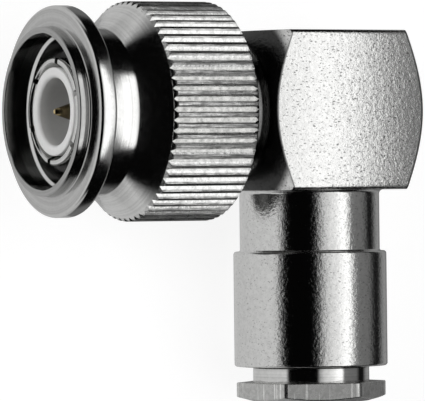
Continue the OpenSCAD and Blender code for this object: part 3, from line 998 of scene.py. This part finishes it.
class PlugClamp(bpy.types.Operator):
    """Makes the clamp nut with its thread, and the parts that it presses on the cable."""

    bl_idname = "plug.clamp"
    bl_label = "Make the clamp"

    def execute(self, context):
        body = settings("plug_body")
        turn = math.radians(HEX_TURN)
        angles = [2 * math.pi * i / HEX_SEGMENTS for i in range(HEX_SEGMENTS)]
        rings = [around(hex_section(a + math.pi / 6), a + turn) for a in angles]
        head = placed("clamp_nut_head", skin(rings), LEG_FRAME, 28)
        seat(head, "clamp_nut", "nickel_clamp", "flats", "clamp_nut")

        shank_v, shank_r = WASHER_END_V + TURNING_GAP, LEG_THREAD_R - TURNING_GAP
        relief_v = SLEEVE_END_V - 0.1
        core_r = shank_r - 0.36
        core = eased(
            [(shank_v, ENTRY_R), (shank_v, core_r), (relief_v, core_r), (relief_v + 0.2, shank_r),
             (HEX_V + 0.05, shank_r), (HEX_V + 0.05, ENTRY_R)],
            0.08,
        )
        shank = placed("clamp_nut_shank", turned(core), LEG_FRAME)
        seat(shank, "clamp_nut", "nickel_clamp", "clamp")
        span = (shank_v + 0.35, relief_v - 0.05)
        ridge = thread(
            "clamp_nut_thread", LEG_FRAME, core_r - 0.01, 0.36, body.clamp_pitch, span, 1,
            "clamp",
        )
        seat(ridge, "clamp_nut", "nickel_clamp", "clamp")

        stack = (
            ("braid_ferrule", "contact_plate", "clamp", "braid_clamp",
             [(BRAID_TIP_V, LEG_BORE_R), (BRAID_TIP_V, 2.6), (BRAID_FLANGE_V, 3.2),
              (BRAID_FLANGE_V, STACK_R), (GASKET_V, STACK_R), (GASKET_V, LEG_BORE_R)]),
            ("cable_gasket_sleeve", "grey_rubber", "rubber", "cable_gasket",
             tube(GASKET_V, WASHER_V, ENTRY_R - 0.2, STACK_R)),
            ("thrust_washer_ring", "contact_plate", "clamp", "thrust_washer",
             tube(WASHER_V, WASHER_END_V, ENTRY_R + 0.05, STACK_R)),
        )
        for name, slot, finish, node, section in stack:
            piece = placed(name, turned(eased(section, 0.08), 128), LEG_FRAME)
            seat(piece, "clamp_stack", slot, finish, node)
        return {"FINISHED"}


# The camera of the photograph, seen from the upright part, in degrees and millimetres
CAMERA_TURN, CAMERA_RISE, CAMERA_ROLL = 29.47, 0.07, -0.65
CAMERA_DISTANCE = 405.0
CAMERA_AIM = Vector((9.0, -7.0, 0.0))
AIM_PIXEL = (223.2, 204.46)
PIXELS_PER_MM = 13.317

# The studio around the part: brightness by the direction around the leg's axis, in degrees
# from the camera towards the picture's right, level with the camera and high above or below it
STUDIO_LEVEL = (
    (-180, 0.5), (-165, 0.75), (-100, 0.88), (-52, 0.95), (-46, 0.002), (12, 0.002), (17, 0.6),
    (25, 1.0), (45, 1.45), (55, 2.0), (63, 2.0), (68, 0.27), (100, 0.22), (110, 0.01),
    (124, 0.01), (138, 0.35), (155, 0.42), (165, 0.2), (180, 0.2),
)
STUDIO_HIGH = (
    (-180, 0.5), (-140, 0.75), (-122, 0.85), (-70, 0.002), (160, 0.002), (180, 0.15),
)
HIGH_START, HIGH_END = 0.66, 0.76

# The floor and the lamp, in metres and watts, and the camera's sensor, in millimetres
WHITE = (1, 1, 1, 1)
FLOOR_SHOWN, FLOOR_BOUNCE, FLOOR_LIFT = (0.3, 0.3, 0.3, 1), (0.85, 0.85, 0.85, 1), 0.86
FLOOR_RADIUS = 0.6
LAMP_SIZE, LAMP_POWER, LAMP_AWAY = 0.25, 1.1, 0.5
SENSOR_WIDTH = 36.0


def camera_axes():
    """The directions to the camera, to the picture's right and up the picture, in the row."""
    turn, rise = math.radians(CAMERA_TURN), math.radians(CAMERA_RISE)
    toward = Vector(
        (-math.sin(turn) * math.cos(rise), math.sin(rise), math.cos(turn) * math.cos(rise))
    )
    right = Vector((0, 1, 0)).cross(toward).normalized()
    up = toward.cross(right)
    roll = math.radians(-CAMERA_ROLL)
    right, up = (
        right * math.cos(roll) - up * math.sin(roll),
        up * math.cos(roll) + right * math.sin(roll),
    )
    return LAID @ toward, LAID @ right, LAID @ up


def studio_light(add, direction):
    """A soft studio drawn on a direction: bands of light and dark around the leg's axis."""
    toward, right, up = camera_axes()
    ahead, across, above = (
        add("ShaderNodeVectorMath", {0: direction, 1: axis}, operation="DOT_PRODUCT")
        .outputs["Value"]
        for axis in (toward, right, up)
    )
    angle = maths(add, "ARCTAN2", across, ahead)
    around_leg = add(
        "ShaderNodeMapRange", {"Value": angle, "From Min": -math.pi, "From Max": math.pi}
    )
    bands = []
    for table in (STUDIO_LEVEL, STUDIO_HIGH):
        ramp = add("ShaderNodeFloatCurve", {"Value": around_leg.outputs["Result"]})
        curve = ramp.mapping.curves[0]
        top = max(value for _, value in table)
        for i, (degrees, value) in enumerate(table):
            place = ((degrees + 180) / 360, value / top)
            if i in (0, len(table) - 1):
                point = curve.points[0 if i == 0 else len(curve.points) - 1]
                point.location = place
            else:
                point = curve.points.new(*place)
            point.handle_type = "VECTOR"
        ramp.mapping.update()
        bands.append(product(add, ramp.outputs["Value"], top))
    high = stepped(add, maths(add, "ABSOLUTE", above), HIGH_START, HIGH_END, 0.0, 1.0)
    return blend(add, high, *bands)


def by_ray(add, kind, others, shader):
    """One shader for a kind of ray, and another for all others."""
    ray = add("ShaderNodeLightPath").outputs[kind]
    return add("ShaderNodeMixShader", {"Fac": ray, 1: others, 2: shader}).outputs["Shader"]


def floor_paint():
    """A pale floor that keeps the part's shadow and looks white where nothing shades it."""
    material, add = material_tree("pale_floor")
    matt = add("ShaderNodeBsdfDiffuse", {"Color": FLOOR_SHOWN}).outputs["BSDF"]
    lift = add("ShaderNodeEmission", {"Color": WHITE, "Strength": FLOOR_LIFT})
    shown = add("ShaderNodeAddShader", {0: matt, 1: lift.outputs["Emission"]}).outputs["Shader"]
    bounce = add("ShaderNodeBsdfDiffuse", {"Color": FLOOR_BOUNCE}).outputs["BSDF"]
    clear = add("ShaderNodeBsdfTransparent").outputs["BSDF"]
    hidden = by_ray(add, "Is Glossy Ray", bounce, clear)
    surface = by_ray(add, "Is Camera Ray", hidden, shown)
    add("ShaderNodeOutputMaterial", {"Surface": surface})
    return material


class PlugStage(bpy.types.Operator):
    """Makes the floor, the studio light and the camera."""

    bl_idname = "plug.stage"
    bl_label = "Make the stage"

    def execute(self, context):
        scene = context.scene
        scene.view_settings.view_transform = "Standard"
        toward, right, up = camera_axes()

        world = bpy.data.worlds.new("studio")
        world.use_nodes = True
        world.node_tree.nodes.clear()
        scene.world = world
        add = node_adder(world.node_tree)
        direction = add("ShaderNodeTexCoord").outputs["Generated"]
        studio = add("ShaderNodeBackground", {"Strength": studio_light(add, direction)})
        backdrop = add("ShaderNodeBackground", {"Color": WHITE})
        surface = by_ray(
            add, "Is Camera Ray", studio.outputs["Background"], backdrop.outputs["Background"]
        )
        add("ShaderNodeOutputWorld", {"Surface": surface})

        disc = bmesh.new()
        bmesh.ops.create_circle(disc, cap_ends=True, radius=FLOOR_RADIUS, segments=96)
        disc.transform(Matrix.Translation((0, 0, cad_box[0][2])))
        floor = as_object("floor", disc)
        floor.data.materials.append(floor_paint())

        lamp = bpy.data.lights.new("key", "AREA")
        lamp.shape = "DISK"
        lamp.size, lamp.energy = LAMP_SIZE, LAMP_POWER
        key = linked("key", lamp)
        key.visible_glossy = False
        aim = (toward * 0.8 - right * 0.9 + up * 0.25).normalized()
        key.location = aim * LAMP_AWAY
        key.rotation_euler = aim.to_track_quat("Z", "Y").to_euler()

        lens = bpy.data.cameras.new("camera")
        camera = linked("camera", lens)
        lens.sensor_fit = "HORIZONTAL"
        lens.sensor_width = SENSOR_WIDTH
        width_mm = PICTURE[0] / PIXELS_PER_MM
        lens.lens = lens.sensor_width * CAMERA_DISTANCE / width_mm
        lens.clip_start, lens.clip_end = 0.01, 5.0
        off_right = (PICTURE[0] / 2 - AIM_PIXEL[0]) / PIXELS_PER_MM
        off_up = (AIM_PIXEL[1] - PICTURE[1] / 2) / PIXELS_PER_MM
        centre = LAID @ CAMERA_AIM + right * off_right + up * off_up
        where = (centre + toward * CAMERA_DISTANCE) * MM
        turn = Matrix((right, up, toward)).transposed().to_4x4()
        camera.matrix_world = Matrix.Translation(where) @ turn
        scene.camera = camera
        return {"FINISHED"}


STEPS = (
    PlugFinishesMake, PlugTrees, PlugCouplingNut, PlugBlock, PlugContacts, PlugRearCap,
    PlugClamp, PlugStage,
)


class PlugPanel(bpy.types.Panel):
    """The steps that make the plug, in order."""

    bl_idname = "VIEW3D_PT_plug"
    bl_label = "Plug"
    bl_space_type = "VIEW_3D"
    bl_region_type = "UI"
    bl_category = "Plug"

    def draw(self, context):
        for step in STEPS:
            self.layout.operator(step.bl_idname)
        for name, group in GROUPS.items():
            box = self.layout.box()
            for value in group.__annotations__:
                box.prop(getattr(context.scene, name), value)


def register():
    for kind in (*GROUPS.values(), *STEPS, PlugPanel):
        bpy.utils.register_class(kind)
    for name, group in GROUPS.items():
        setattr(bpy.types.Scene, name, bpy.props.PointerProperty(type=group))


def unregister():
    for name in GROUPS:
        delattr(bpy.types.Scene, name)
    for kind in (PlugPanel, *reversed(STEPS), *reversed(GROUPS.values())):
        bpy.utils.unregister_class(kind)


def main():
    """Registers the classes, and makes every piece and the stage."""
    register()
    bpy.ops.plug.finishes()
    bpy.ops.plug.trees()
    bpy.ops.plug.coupling_nut()
    bpy.ops.plug.block()
    bpy.ops.plug.contacts()
    bpy.ops.plug.rear_cap()
    bpy.ops.plug.clamp()
    bpy.ops.plug.stage()


if __name__ == "__main__":
    main()
